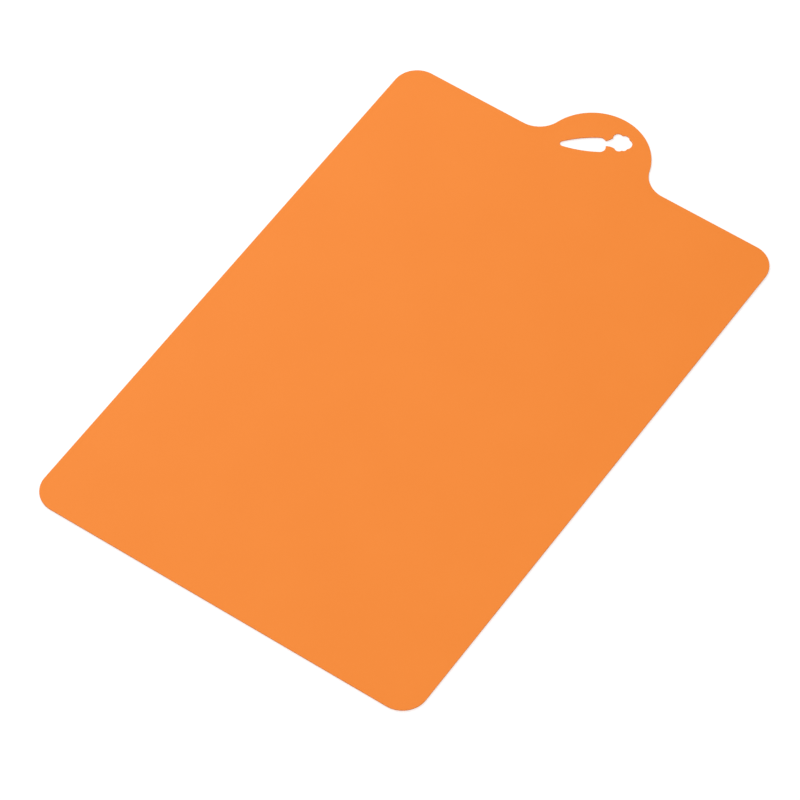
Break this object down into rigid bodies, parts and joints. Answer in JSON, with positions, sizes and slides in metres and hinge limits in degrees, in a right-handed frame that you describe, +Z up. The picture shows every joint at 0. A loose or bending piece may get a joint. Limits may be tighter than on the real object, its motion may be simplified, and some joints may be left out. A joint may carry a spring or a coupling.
{
  "type": "flexible cutting mat",
  "caption": "Thin flexible plastic cutting mat with rounded corners and a rounded tab, which has a carrot-shaped hole to hang it by.",
  "frame": {"origin": "middle of the mat's whole length and width, on its underside", "axes": "+Z up out of the cutting surface, +Y along the length from the near edge towards the hanging tab, +X to the right with the tab pointing away"},
  "size_m": [0.25, 0.4, 0.0008],
  "materials": {
    "sheet": "matte"
  },
  "bodies": {
    "root": {"mat_sheet": "sheet"}
  },
  "joints": []
}
